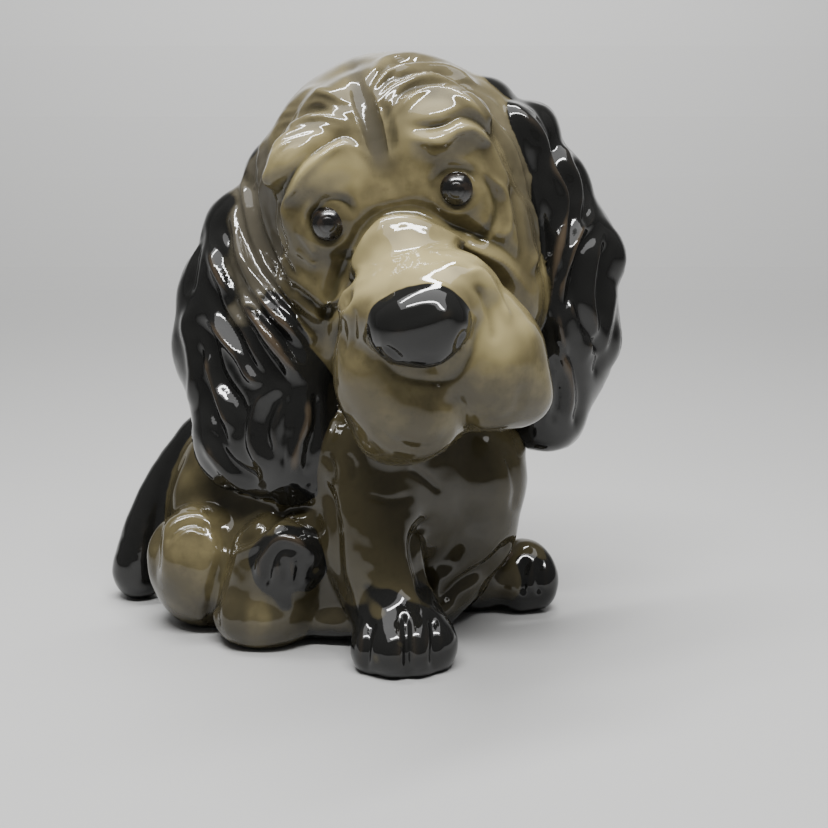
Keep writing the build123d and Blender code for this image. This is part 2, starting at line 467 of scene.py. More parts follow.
muzzleMarks = (
    ("groove", 5.0, 1.9, ((0, 38), (0, 24), (0, 12), (0, 0))),
    # edge of the muzzle on the face
    ("fold", 1.7, 1.6, ((30, -34), (28, -27), (24.5, -20), (19, -15), (14, -11),
                        (9.6, -7), (5, -3.6), (-1.6, -2.4), (-6.7, -4), (-12, -8.5),
                        (-16.5, -15), (-21, -21.5), (-25, -29), (-27.5, -36))),
    # whisker dents and lips
    ("groove", 0.8, 0.45, ((-16, -22), (-17.5, -27), (-19, -32))),
    ("groove", 0.8, 0.45, ((-19, -23), (-20.5, -29), (-22, -34))),
    ("ridge", 0.9, 0.5, ((-26.5, -40), (-26, -45), (-24.5, -50))),
    ("ridge", 1.0, 0.9, ((13, -21), (18, -22.5), (20.5, -31), (22, -38))),
    ("groove", 1.1, 0.9, ((14.5, -24.5), (17, -28), (17.5, -35), (16, -42))),
    ("groove", 1.4, 0.45, ((-20, -51), (-15, -59), (-8, -63), (-2, -61), (1.5, -56))),
    ("groove", 2.2, 1.0, ((2, -50), (3.5, -55), (3.5, -60), (3, -65))),
    ("groove", 1.3, 0.4, ((6, -58), (11, -60.5), (17, -59), (21, -52))),
)
noseMarks = (
    ("groove", 1.0, 0.8, ((-12.5, -29), (-12.8, -36), (-10, -42), (-4, -45.5), (3, -47), (8.5, -43),
                          (12.5, -37), (13, -29))),
    ("groove", 0.9, 0.9, ((10.5, -35.5), (8, -38), (6.5, -41))),
    ("groove", 0.9, 0.8, ((-12, -34), (-9.5, -36.5), (-8, -39.5))),
    ("ridge", 2.2, 0.7, ((-10.5, -31), (-5, -31.8), (2, -31.5), (10, -29.5))),
)
strandMarks = (   # long hair falling between the face and the right ear
    ("ridge", 0.9, 0.6, ((-41.6, 3), (-39, -12), (-32.5, -21.6), (-19.6, -35.6))),
    ("groove", 0.9, 0.6, ((-40, 8), (-38.2, -6), (-33, -17.5), (-19, -34))),
    ("ridge", 0.9, 0.6, ((-35.7, 14), (-38.5, 6.3), (-37.3, -4.4), (-32.5, -15.1), (-25, -24.8),
                         (-17.5, -32.3))),
    ("groove", 0.9, 0.6, ((-35, 15), (-36, 4), (-33.5, -7), (-28, -17.5), (-19, -29.5))),
    ("ridge", 0.9, 0.6, ((-33.6, 17), (-33.6, 3), (-29.3, -12), (-25, -21.6), (-19.6, -28))),
    ("groove", 0.8, 0.5, ((-33, 10), (-31.8, -1), (-27.8, -12), (-22, -22))),
    ("ridge", 0.8, 0.5, ((-32, 6.3), (-30.4, -4.4), (-26.6, -13), (-21.7, -21.6))),
)
rightEarMarks = (
    ("ridge", 1.5, 1.3, ((-45, -5), (-41.5, -11.5), (-38.8, -20.5), (-34.3, -29.5), (-29.7, -36.6),
                         (-21.4, -47))),
    ("groove", 1.5, 1.6, ((-46, -7), (-43.5, -14), (-40.5, -24), (-36, -34), (-31, -41), (-25, -49))),
    ("ridge", 1.3, 1.1, ((-47.5, -9), (-44.6, -18), (-39.4, -25), (-35.5, -33))),
    ("groove", 1.4, 1.6, ((-48, -16), (-45.2, -25.6), (-41.4, -32), (-37.2, -40.5), (-33, -45))),
    ("ridge", 1.3, 1.3, ((-48, -28), (-44, -33.4), (-40, -38), (-36.2, -43.7), (-32, -47))),
    ("groove", 1.5, 1.6, ((-50, -28), (-47.2, -34), (-44.6, -43.7), (-40, -50), (-37.5, -55))),
    ("ridge", 1.3, 1.2, ((-48.5, -37), (-46.5, -43.7), (-43.3, -53.4), (-40.7, -58.5))),
    ("ridge", 1.4, 1.3, ((-52, -24), (-53, -31), (-51.7, -37), (-50.7, -43.7), (-51.4, -53))),
    ("groove", 1.3, 1.3, ((-51, -33), (-49.5, -41), (-47.5, -50), (-44, -59), (-41, -64))),
    ("groove", 1.5, 1.7, ((-42.6, 0), (-42.5, -7), (-39.5, -18), (-35, -26), (-28.5, -33), (-23, -40))),
    ("ridge", 1.3, 1.1, ((-41.4, 1.5), (-40.7, -7), (-37.5, -18), (-33, -25.6), (-26.5, -32),
                         (-21.4, -37))),
    ("ridge", 1.4, 1.0, ((-49.7, -58.5), (-46, -64.3), (-40.7, -70.5), (-34.3, -74), (-28.5, -72.5))),
    ("groove", 1.2, 1.0, ((-48, -56), (-44, -63), (-39, -68), (-33, -71))),
    ("ridge", 1.3, 0.9, ((-30.4, -45.6), (-34.3, -50), (-36.2, -57), (-35.5, -63), (-32, -69))),
    ("groove", 1.2, 1.0, ((-28, -47), (-31.5, -52), (-33, -58), (-31, -66))),
    ("ridge", 1.1, 0.8, ((-22, -48), (-22, -55), (-24.6, -63), (-25.5, -70))),
    ("groove", 1.1, 0.9, ((-20, -46), (-19.5, -55), (-21.5, -64), (-22.5, -71))),
    ("groove", 1.0, 0.8, ((-26, -46), (-27.5, -54), (-28.5, -62), (-28, -70))),
    ("groove", 1.2, 1.0, ((-49, -4), (-51, -14), (-53, -24))),
)
leftEarMarks = (
    ("groove", 1.7, 1.5, ((25, 30), (30, 22), (35.5, 12), (38, 2), (39.4, -12), (37.4, -24), (38.5, -36))),
    ("ridge", 1.4, 1.3, ((27.7, 29), (33, 24), (38, 18), (40.6, 10), (44.3, 3.4), (44.5, -4),
                         (42.6, -13), (40.6, -22), (40.3, -32))),
    ("groove", 1.3, 1.4, ((40, 21), (42.6, 11), (46, 5), (46.3, -4), (45, -12))),
    ("ridge", 1.3, 1.0, ((41.8, 18), (46, 10.5), (48, 4), (47.5, -3))),
    ("groove", 1.2, 1.2, ((45, 14), (50, 7), (50.5, -1), (49, -8))),
    ("ridge", 1.2, 1.2, ((53, -1), (50.5, -4), (47.7, -8), (44.2, -18), (42.5, -26))),
    ("groove", 1.2, 1.3, ((54, -4), (51, -8), (48.5, -12), (46.5, -20), (44, -30))),
    ("ridge", 1.2, 1.1, ((54.8, -5), (52.5, -12), (51, -22), (51.6, -32), (49, -42))),
    ("groove", 1.2, 1.3, ((47, -18), (48, -25), (51, -33), (53.5, -38), (52, -46))),
    ("groove", 1.1, 1.1, ((56, -8), (54.2, -15), (53.6, -23), (54.5, -31))),
    ("ridge", 1.2, 1.0, ((57.5, -18), (56, -25), (54.8, -33), (52.5, -42))),
    ("ridge", 1.3, 1.0, ((42, -25), (44.5, -38), (46, -48), (44.5, -57))),
    ("groove", 1.2, 1.0, ((43, -34), (47, -42), (48.6, -50), (46.5, -59))),
    ("groove", 1.1, 0.8, ((41.5, -38), (42.5, -48), (41.5, -57))),
)
bodyMarks = (
    ("ridge", 1.3, 0.9, ((-59.7, -86), (-56.7, -82), (-52.4, -80), (-48, -81), (-45.9, -84.5))),
    ("groove", 1.1, 0.7, ((-58.5, -87.5), (-55.5, -83.6), (-51.5, -82), (-47.5, -84))),
    ("ridge", 1.0, 0.5, ((-57.6, -88), (-55, -84.6), (-50.7, -83.4), (-48, -86))),
    ("ridge", 1.0, 0.6, ((-55.5, -79), (-51.6, -77.6), (-47.5, -79.5))),
    ("ridge", 1.1, 1.0, ((-42, -90.5), (-35.2, -87.5), (-30, -83.6), (-25.7, -80.6), (-20, -80.6))),
    ("groove", 1.4, 1.4, ((-43, -88), (-36, -85), (-31, -81), (-26.5, -78), (-19, -77.5))),
    ("groove", 1.8, 1.6, ((-44.5, -81), (-43.2, -88), (-45.5, -96.5), (-47, -106), (-44, -112))),
    ("ridge", 1.2, 1.0, ((-34.3, -98), (-33.6, -91), (-29.5, -86), (-24.5, -86.5), (-21.5, -90))),
    ("groove", 1.0, 0.9, ((-32.3, -99), (-31.6, -92.5), (-28.5, -88.5), (-24.5, -89))),
    ("groove", 1.8, 1.6, ((12, -80), (7, -84), (6, -89), (7.8, -96), (9.5, -103))),
    ("groove", 1.8, 1.7, ((33, -84), (30, -88), (25, -93), (17.4, -97), (10.5, -104))),
    ("groove", 1.6, 1.2, ((-19, -68), (-16, -76), (-14.6, -86), (-13.6, -97), (-10, -106))),
    ("groove", 1.2, 0.4, ((-8, -74.2), (-0.7, -75.8), (6, -74.5))),
    ("groove", 1.0, 0.6, ((4, -67), (8, -69.5), (13, -74))),
    ("groove", 1.0, 0.6, ((-12, -63), (-10, -67), (-10.5, -72))),
    ("groove", 1.0, 0.6, ((-17.5, -63), (-15.5, -67), (-15.5, -72))),
    ("groove", 1.2, 0.7, ((28.5, -61), (31, -68), (31.8, -74), (30.5, -80))),
    ("groove", 2.0, 1.6, ((-52.4, -57), (-58.5, -71), (-61.5, -84), (-61.9, -101))),
)
toeMarks = (
    ("groove", 1.1, 1.3, ((-4.6, -105), (-5.9, -110), (-6.7, -117), (-6.5, -121))),
    ("groove", 1.1, 1.3, ((3.2, -104), (3.6, -110), (3.8, -117), (4, -122))),
    ("groove", 1.1, 1.3, ((9.8, -104), (10.8, -109.4), (10.9, -116), (10.4, -120))),
    ("groove", 0.9, 1.0, ((34.9, -90), (33.8, -95), (33.8, -101))),
    ("groove", 0.9, 1.0, ((38.3, -90), (37.9, -95), (37.9, -101))),
    ("groove", 0.9, 0.9, ((-28.5, -90), (-27.5, -94), (-27.5, -98))),
    ("groove", 0.9, 0.9, ((-24.2, -90), (-24.2, -94), (-25, -98))),
)

lids = {"apart": 17, "rim": 6.1, "cup": 4.4}   # out from the middle of the face, and radii, mm


# Corners of a ring round one eye.
def lidRing(side, radius):
    return [(lids["apart"] * side + radius * math.cos(turn), radius * math.sin(turn))
            for turn in np.linspace(0, 2 * math.pi, 17)]


drawMarks(faceMarks, headRoll, ["head_shell"], 1.5)
drawMarks(muzzleMarks, headRoll, ["head_shell"])
for side in (-1, 1):   # lids round the beads
    rim, cup = lidRing(side, lids["rim"]), lidRing(side, lids["cup"])
    drawMarks((("ridge", 1.1, 0.35, rim), ("groove", 1.0, 0.9, cup)), headRoll, ["head_shell"])
drawMarks(noseMarks, headRoll, ["nose", "head_shell"])
drawMarks(rightEarMarks, 0, ["right_ear"], 1.3)
drawMarks(leftEarMarks, 0, ["left_ear"], 1.3)
drawMarks(strandMarks, 0, ["right_ear", "head_shell"], 1.2)
bodyPieces = [name for name in bodyLumps if name not in ("right_ear", "left_ear")]
drawMarks(bodyMarks, 0, bodyPieces, 1.25)
drawMarks(toeMarks, 0, ["right_foreleg", "right_hind_leg", "left_hind_leg"])
points = smoothed(points, 1)
print("folds, hair and toes drawn")

# hair behind, and the hand's unevenness
memberships = np.zeros((vertexCount, len(pieceNames)))
memberships[np.arange(vertexCount), owner] = 1
memberships = smoothed(memberships, 6)
member = {name: memberships[:, number] for number, name in enumerate(pieceNames)}


# Smooth uneven hills about size mm apart, roughly -1 to 1.
def waves(places, size, seed):
    random = np.random.default_rng(seed)
    total = np.zeros(len(places))
    for _ in range(14):
        direction = random.normal(size=3)
        direction /= np.linalg.norm(direction)
        stretch = 2 * math.pi / size * random.uniform(0.7, 1.4)
        total += np.sin(places @ direction * stretch + random.uniform(0, 6.3))
    return total / 4.0


hair = {
    "strand": 4.6,        # from one lock to the next on the head and ears, mm
    "depth": 0.9,
    "bodyStrand": 6.9,
    "bodyDepth": 0.45,
    "fineStrand": 2.7,    # fine hair combed round each brow
    "fineDepth": 0.24,
    "unevenness": 0.2,    # the hand's, in hills 17 mm apart
    "ripple": 0.025,      # the glaze's, in hills 5 mm apart
}

# Combed hair covers what the drawn marks don't reach, where the surface turns from the viewpoint.
normals = surfaceNormals()
toViewer = eyePoint - points
toViewer /= np.linalg.norm(toViewer, axis=1)[:, None]
turnedAway = np.clip(0.15 - (normals * toViewer).sum(1) * 1.6, 0, 1)
turnedAway = smoothed(turnedAway[:, None], 4)[:, 0]
fromSkull = points - middles[0]
roundHead = np.arctan2(fromSkull[:, 0], fromSkull[:, 1]) * 40   # mm of arc
sideways = np.where(member["left_ear"] > member["right_ear"], points[:, 1] - 0.25 * points[:, 2],
                    points[:, 1] * 0.8 - points[:, 0] * 0.6 + 0.3 * points[:, 2])
roundBody = points[:, 0] * 0.8 + points[:, 1] * 0.6 + 0.35 * points[:, 2]
ears = np.clip(member["right_ear"] + member["left_ear"], 0, 1)


# Lock-shaped furrows: sharp valleys, rounded crests, wandering and splitting as they fall.
def locks(across, strand, seed):
    phase = across / strand * math.pi + 1.5 * waves(points * (1, 1, 0.45), 24, seed)
    return 0.5 - np.abs(np.cos(phase)) ** 2.5 + 0.25 * np.sin(2.3 * phase + waves(points, 15, seed + 1))


height = hair["depth"] * turnedAway * member["head_shell"] * locks(roundHead, hair["strand"], 3)
height += hair["depth"] * np.clip(turnedAway * 1.3, 0, 1) * ears * locks(sideways, hair["strand"], 5)
bodyShare = turnedAway * np.clip(member["torso_shell"] + 0.4 * member["tail"], 0, 1)
bodyShare *= np.clip(points[:, 2] / 12, 0, 1)
height += hair["bodyDepth"] * bodyShare * locks(roundBody, hair["bodyStrand"], 7)
facing = np.clip((normals * toViewer).sum(1) * 4 - 0.6, 0, 1)
places = drawingPlane(points, headRoll)
browHair = (((17, 10), 15, 31), ((-18, 6), 14, 30))   # middle of each whorl, its inner and outer reach
for centre, inner, outer in browHair:
    gap = np.hypot(*(places - centre).T)
    share = np.clip((gap - inner) / 3, 0, 1) * np.clip((outer - gap) / 4, 0, 1)
    share *= np.clip((places[:, 1] - centre[1] + 14) / 10, 0, 1) * facing * member["head_shell"]
    share *= np.clip((np.sign(centre[0]) * places[:, 0] - 1) / 3, 0, 1)
    phase = gap / hair["fineStrand"] * 2 * math.pi
    phase += 1.6 * waves(points, 20, 31) + 0.6 * waves(points, 9, 32)
    height += hair["fineDepth"] * share * np.sin(phase) * (0.6 + 0.4 * waves(points, 16, 33))
height += (hair["unevenness"] * waves(points, 17, 11)
           + hair["ripple"] * waves(points, 5, 12) * (1 - member["nose"]))
height *= np.clip((points[:, 2] + 0.5) / 3, 0, 1)
points += normals * height[:, None]

# the flat foot
points[:, 2] = np.maximum(points[:, 2], 0.0)
finalNormals = surfaceNormals()
print("hair combed")

# painting
# dark, grey and brown keep how much of each glaze lies on a place, and dark also holds painted shade near
# the floor; the fourth field is painted shade: darker low on the body, under the head, down its right
# side, round the eyes and at the ear seams, and below zero a painted highlight on the lit bulges
brushWander = 0.22 * waves(points, 9, 21)


# 1 within reach of a place in the row's frame, falling to 0 over an edge given as a share of the reach.
def patch(place, reach, edge):
    gap = np.linalg.norm((points - np.array(place)) / np.array(reach), axis=1)
    rise = np.clip((1 + edge - gap + brushWander) / (1.6 * edge), 0, 1)
    return rise * rise * (3 - 2 * rise)


# How close each place lies to a drawn line, seen along the sight line.
def lineWeight(roll, width, corners):
    places = drawingPlane(points, roll)
    distance, side, along = lineDistance(places, smoothLine(corners))
    return np.exp(-(distance / width) ** 2)


darkPatches = (   # piece, strength, middle, reach, edge
    ("right_foreleg", 1.15, (13, -27, 5), (19, 17, 14), 0.4),
    ("left_hind_leg", 0.95, (53, 12, 8), (8, 9, 12), 0.3),
    ("right_hind_leg", 1.1, (-18.5, -22, 26), (10, 10, 10.5), 0.3),
)
greyLines = (   # strength, width, corners: down the brow, and along the hairline beside each ear
    (0.7, 4.6, ((1, 46), (0, 36), (0, 26), (0, 18), (0, 13))),
    (0.6, 4.5, ((-38, 0), (-38, 12), (-33, 22), (-25, 31), (-12, 38), (0, 42))),
    (0.55, 4.5, ((34, -18), (35, -6), (34, 8), (30, 22), (22, 33), (8, 40))),
)
brownLine = ((-22, -40), (-18, -50), (-18, -60), (-20, -70))   # where the right ear lies on the chest
# places where the painted shade is lifted
lightPatches = (   # strength, middle, reach, edge: haunch, hind foot and flank
    (0.75, (-46, -6, 24), (9, 12, 11), 0.9),
    (0.6, (-27, -20, 9), (3, 8, 7), 0.6),
    (0.4, (-40, 26, 52), (18, 22, 16), 0.6),
)
paintedHighlights = (   # middle and reach of painted highlights on the lit bulges: muzzle, brows and jowl
    (headPlace(1, 16, -15), (13, 16, 9)),
    (headPlace(-16, 0, 14), (11, 10, 6)),
    (headPlace(16, 0, 16), (10, 10, 6)),
    (headPlace(17, 16, -33), (8, 12, 9)),
)
heights = points[:, 2]
onHead = member["head_shell"]

dark = np.clip(member["right_ear"] + member["left_ear"] + member["tail"] * 0.9 + member["nose"], 0, 1)
strands = patch((-27, 4, 110), (9, 15, 27), 0.6)
dark *= 1 - 0.75 * strands * (1 - member["tail"])
dark *= 1 - 0.3 * patch(headPlace(-4, 36, -26), (5, 6, 4), 0.8)
for name, strength, middle, reach, edge in darkPatches:
    dark = np.maximum(dark, strength * member[name] * patch(middle, reach, edge))
dark = np.maximum(dark, 0.55 * patch((-40, 44, 46), (26, 14, 60), 0.5))   # down the back
# painted shade near the floor, on all but the right hind leg
floorShade = np.clip((11 - heights) / 9, 0, 1) * (1 - member["right_hind_leg"])
dark = np.maximum(dark, 0.8 * floorShade)

grey = 0.4 * np.clip((heights - 128) / 14, 0, 1)   # the crown
for strength, width, corners in greyLines:
    grey = np.maximum(grey, strength * lineWeight(headRoll, width, corners))
grey = np.maximum(grey * onHead, 0.95 * strands)
grey = np.maximum(grey, 0.7 * onHead * np.clip((points[:, 1] - 18) / 14, 0, 1))   # the back of the head
grey = np.maximum(grey, 0.35 * np.clip((36 - heights) / 40, 0, 1))
brown = 0.6 * lineWeight(0, 3.2, brownLine) * (member["right_ear"] + member["torso_shell"])

body = np.clip(1 - onHead - member["nose"], 0, 1)
# painted shade: the body darker towards the bottom
paintedShading = 0.85 * np.clip((84 - heights) / 26, 0, 1) * body
# painted shade under the head, where the surface faces down
paintedShading = np.maximum(paintedShading, 0.7 * onHead * np.clip(0.05 - finalNormals[:, 2] * 1.2, 0, 1))   # underneath
# painted shade down the head's right side, below the crown
paintedShading = np.maximum(paintedShading, 0.8 * onHead * np.clip((-12 - fromSkull[:, 0]) / 16, 0, 1)
                    * np.clip((118 - heights) / 20, 0, 1))
paintedShading = np.maximum(paintedShading, 0.45 * strands)
for strength, middle, reach, edge in lightPatches:
    paintedShading *= 1 - strength * patch(middle, reach, edge)
# painted shade round each eye socket
for eye in (rightEye, leftEye):
    paintedShading = np.maximum(paintedShading, 0.5 * patch(eye, (5.6, 5.6, 5.6), 0.5))
for name in ("right_ear", "left_ear"):   # shaded seams where the ears lie on the head
    paintedShading = np.maximum(paintedShading, np.clip(2.8 * member[name] * onHead, 0, 0.8))
# painted highlight: the glaze paler on the lit bulges
for middle, reach in paintedHighlights:
    paintedShading -= 0.7 * onHead * patch(middle, reach, 0.9)

# relief is how proud a place stands of its surroundings
reliefHeight = ((points - smoothed(points, 14)) * finalNormals).sum(1)
relief = np.clip(reliefHeight / 0.7, -1, 1)
print("painted")

# glazes


# An sRGB hex colour as linear red, green and blue.
def linear(hexColour):
    channels = [int(hexColour[k:k + 2], 16) / 255 for k in (1, 3, 5)]
    return [c / 12.92 if c <= 0.04045 else ((c + 0.055) / 1.055) ** 2.4 for c in channels]


def addNode(tree, kind, inputs=(), **settings):
    node = tree.nodes.new(kind)
    for key, value in settings.items():
        setattr(node, key, value)
    for key, value in dict(inputs).items():
        if isinstance(value, bpy.types.NodeSocket):
            tree.links.new(value, node.inputs[key])
        else:
            node.inputs[key].default_value = value
    return node


# Colour between two, each a socket or a hex colour.
def mixed(tree, share, first, second):
    node = addNode(tree, "ShaderNodeMix", data_type="RGBA")
    for socket, value in ((0, share), (6, first), (7, second)):
        if isinstance(value, bpy.types.NodeSocket):
            tree.links.new(value, node.inputs[socket])
        elif isinstance(value, str):
            node.inputs[socket].default_value = (*linear(value), 1)
        else:
            node.inputs[socket].default_value = value
    return node.outputs[2]


def ramped(tree, value, low, high, outLow=0.0, outHigh=1.0):
    node = addNode(tree, "ShaderNodeMapRange", {0: value, 1: low, 2: high, 3: outLow, 4: outHigh})
    node.interpolation_type = "SMOOTHSTEP"
    return node.outputs[0]


# first + second * factor
def summed(tree, first, second, factor):
    node = addNode(tree, "ShaderNodeMath", {0: second, 1: factor, 2: first}, operation="MULTIPLY_ADD")
    return node.outputs[0]


# Soft noise whose clouds are size mm across, fixed to the piece.
def noise(tree, size, detail, roughness=0.5):
    where = addNode(tree, "ShaderNodeTexCoord").outputs["Object"]
    inputs = {"Vector": where, "Scale": 1 / (size * mm), "Detail": detail, "Roughness": roughness}
    return addNode(tree, "ShaderNodeTexNoise", inputs).outputs["Fac"]


cloudSize = 14      # slow changes of tone across a piece, mm
mottleSize = 3.8    # the glaze's own breaking up, mm
glazeColours = {
    "cream": "#5b533b",       # thin olive-cream glaze over the white body
    "butter": "#7b7150",      # where it lies thinnest, on the bulges
    "straw": "#a0946a",       # the brightest: painted highlight on brows and muzzle, and thin glaze on ridges
    "moss": "#37331f",        # where it pools
    "umber": "#2c281b",       # painted shade, low on the body and under the head
    "grey": "#4b473d",
    "brown": "#4b3a29",
    "black": "#191918",
    "blackEdge": "#544839",   # the dark glaze breaks to brown on sharp edges
}


# Coloured glazes brushed over white earthenware and fired under one thick clear coat. The eye gets an
# olive cream with a painted highlight on the lit bulges, moss where it pools in the folds, painted shade
# in umber low down and under the head, greys and blacks that bleed into it with soft cloudy edges, brown
# where the black thins on a ridge, and sharp wet highlights.
def paintedGlaze(name):
    material = bpy.data.materials.new(name)
    material.use_nodes = True
    tree = material.node_tree
    shader = tree.nodes["Principled BSDF"]
    tone = addNode(tree, "ShaderNodeAttribute", attribute_name="tone")
    parts = addNode(tree, "ShaderNodeSeparateColor", {0: tone.outputs["Color"]})
    proud = addNode(tree, "ShaderNodeAttribute", attribute_name="relief").outputs["Fac"]
    clouds = noise(tree, cloudSize, 4, 0.55)
    mottle = noise(tree, mottleSize, 3, 0.6)
    base = mixed(tree, ramped(tree, clouds, 0.42, 0.7), glazeColours["cream"], glazeColours["butter"])
    base = mixed(tree, ramped(tree, mottle, 0.5, 0.8, 0, 0.35), base, glazeColours["moss"])
    base = mixed(tree, ramped(tree, proud, 0.0, -0.8, 0, 0.9), base, glazeColours["moss"])
    # painted shade, below zero a painted highlight
    shadingFac = addNode(tree, "ShaderNodeAttribute", attribute_name="paintedShading").outputs["Fac"]
    # straw where the glaze thins on proud ridges, and as painted highlight on the lit bulges
    thinAndLitShare = ramped(tree, summed(tree, shadingFac, proud, -0.5), 0.1, -0.9, 0, 0.9)
    base = mixed(tree, thinAndLitShare, base, glazeColours["straw"])
    # umber as painted shade
    shadeRange = addNode(tree, "ShaderNodeMapRange", {0: summed(tree, shadingFac, clouds, 0.3), 1: 0.15, 2: 1.2})
    base = mixed(tree, shadeRange.outputs[0], base, glazeColours["umber"])
    greyShare = ramped(tree, summed(tree, parts.outputs[1], clouds, 0.3), 0.15, 1.1)
    base = mixed(tree, greyShare, base, glazeColours["grey"])
    brownShare = ramped(tree, summed(tree, parts.outputs[2], clouds, 0.3), 0.3, 0.8)
    base = mixed(tree, brownShare, base, glazeColours["brown"])
    edgeShare = ramped(tree, proud, 0.25, 1.0, 0, 0.65)
    edge = mixed(tree, edgeShare, glazeColours["black"], glazeColours["blackEdge"])
    darkShare = ramped(tree, summed(tree, parts.outputs[0], mottle, 0.3), 0.45, 0.85)
    base = mixed(tree, darkShare, base, edge)
    tree.links.new(base, shader.inputs["Base Color"])
    shader.inputs["Roughness"].default_value = 0.5
    shader.inputs["Specular IOR Level"].default_value = 0.0
    shader.inputs["Coat Weight"].default_value = 1.0
    shader.inputs["Coat Roughness"].default_value = 0.045
    shader.inputs["Coat IOR"].default_value = 1.52
    return material


creamGlaze = paintedGlaze("creamGlazeFired")   # both are one recipe: the painting says which colour shows
darkGlaze = paintedGlaze("darkGlazeFired")

# cutting into the pieces of the casting
faceCorners = np.zeros(len(skin.loops), int)
skin.loops.foreach_get("vertex_index", faceCorners)
corners = faceCorners.reshape(-1, 4)
faceOwner = memberships[corners].sum(1).argmax(1)


# Directed edges of the quads that no other quad runs back along.
def boundaryEdges(quads):
    starts = quads.ravel()
    ends = np.roll(quads, -1, axis=1).ravel()
    keys = starts.astype(np.int64) * vertexCount + ends
    back = ends.astype(np.int64) * vertexCount + starts
    alone = ~np.isin(keys, back)
    return starts[alone], ends[alone]


for _ in range(12):   # no piece may touch itself at a single point
    pinched = set()
    for number in range(len(pieceNames)):
        starts, ends = boundaryEdges(corners[faceOwner == number])
        found, counts = np.unique(starts, return_counts=True)
        pinched.update(found[counts > 1].tolist())
    if not pinched:
        break
    around = np.where(np.isin(corners, list(pinched)).any(1))[0]
    for vertex in pinched:
        faces = around[(corners[around] == vertex).any(1)]
        faceOwner[faces] = np.bincount(faceOwner[faces]).argmax()
print("pinched places left", len(pinched))

cores = {   # deep inside each piece, in sight of all its cut edges
    "head_shell": middles[0],
    "nose": headPlace(0.4, 25, -28),
    "torso_shell": (-4, 17, 36),
    "right_ear": (-27, 4, 78),
    "left_ear": (57, 15, 98),
    "right_foreleg": (5, -12, 33),
    "left_foreleg": (30, 9, 28),
    "right_hind_leg": (-35, -1, 15),
    "left_hind_leg": (36, 18, 8),
    "tail": (-57, 33, 30),
}
lip = 2.2             # how far a cut runs straight in before it turns to the core, mm
tipSpacing = 0.0005   # keeps the tips of two cuts of one piece from meeting, mm per point


# One piece of the skin, closed behind its cut edges by cones run to a point in its core.
def cutPiece(number):
    quads = corners[faceOwner == number]
    starts, ends = boundaryEdges(quads)
    following = dict(zip(starts.tolist(), ends.tolist()))
    used, local = np.unique(quads, return_inverse=True)
    faces = local.reshape(-1, 4).tolist()
    corner = {vertex: k for k, vertex in enumerate(used.tolist())}
    normals = [finalNormals[quads.ravel()]]
    tips = []
    while following:
        here = next(iter(following))
        ring = []
        while here in following:
            ring.append(here)
            here = following.pop(here)
        inner = points[ring] - finalNormals[ring] * lip
        for _ in range(8):
            inner = inner * 0.5 + (np.roll(inner, 1, axis=0) + np.roll(inner, -1, axis=0)) * 0.25
        first, size = len(used) + len(tips), len(ring)
        tip = np.array(cores[pieceNames[number]]) + tipSpacing * len(tips)
        for k in range(size):
            after = (k + 1) % size
            rimStart, rimEnd = points[ring[k]], points[ring[after]]
            faces.append((corner[ring[after]], corner[ring[k]], first + k, first + after))
            faces.append((first + after, first + k, first + size))
            for across, along, times in ((rimStart - rimEnd, inner[after] - rimEnd, 4),
                                         (inner[k] - inner[after], tip - inner[after], 3)):
                flatNormal = np.cross(across, along)
                flatNormal /= np.linalg.norm(flatNormal) + 1e-12
                normals.append(np.repeat(flatNormal[None], times, axis=0))
        tips += [*inner, tip]
    places = [points[used]] + ([np.array(tips)] if tips else [])
    mesh = bpy.data.meshes.new(pieceNames[number] + "Glazed")
    mesh.from_pydata((np.concatenate(places) * mm).tolist(), [], faces)
    mesh.polygons.foreach_set("use_smooth", np.ones(len(faces), bool))
    mesh.normals_split_custom_set(np.concatenate(normals).tolist())
    pad = np.ones(len(tips))
    toneValues = np.stack([np.concatenate((field[used], pad)) for field in (dark, grey, brown)]
                          + [np.ones(len(used) + len(tips))], axis=1)
    mesh.attributes.new("tone", "FLOAT_COLOR", "POINT").data.foreach_set("color", toneValues.ravel())
    for attribute, field in (("relief", relief), ("paintedShading", paintedShading)):
        values = np.concatenate((field[used], pad))
        mesh.attributes.new(attribute, "FLOAT", "POINT").data.foreach_set("value", values)
    piece = bpy.data.objects.new(pieceNames[number] + "Glazed", mesh)
    bpy.context.scene.collection.objects.link(piece)
    print(pieceNames[number], len(faces), "faces,", len(tips), "cuts")
    return piece


darkPieces = ("right_ear", "left_ear", "tail", "nose")
for number, name in enumerate(pieceNames):
    piece = cutPiece(number)
    isDark = name in darkPieces
    piece.data.materials.append(darkGlaze if isDark else creamGlaze)
    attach(piece, "root")
    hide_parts(name)
bpy.data.meshes.remove(skin)
print("cut into", len(pieceNames), "pieces")

# eyes
beadCloud = 2.4   # size of the brown clouds in the black, mm

# Black glaze dipped over the bead: it turns brown where it ran thin, and keeps a wet glint all round.
beadGlaze = bpy.data.materials.new("blackBeadGlazeFired")
beadGlaze.use_nodes = True
tree = beadGlaze.node_tree
shader = tree.nodes["Principled BSDF"]
cloud = noise(tree, beadCloud, 3)
black = mixed(tree, ramped(tree, cloud, 0.45, 0.75), "#100f0e", "#2a1f15")
tree.links.new(black, shader.inputs["Base Color"])
tree.links.new(ramped(tree, cloud, 0.4, 0.7, 0.2, 0.4), shader.inputs["Roughness"])
shader.inputs["Coat Weight"].default_value = 1.0
shader.inputs["Coat Roughness"].default_value = 0.03
beadProfile = (   # radius and reach ahead, mm: pupil, iris ring, ball and the stub that is luted in
    (0, 4.72), (1.4, 4.52), (2.0, 4.22), (2.5, 4.06), (3.4, 3.4), (4.2, 2.4), (4.75, 0.4), (4.5, -1.7),
    (3.4, -3.1), (1.9, -3.9), (1.6, -4.6), (1.4, -5.6), (0, -5.8),
)
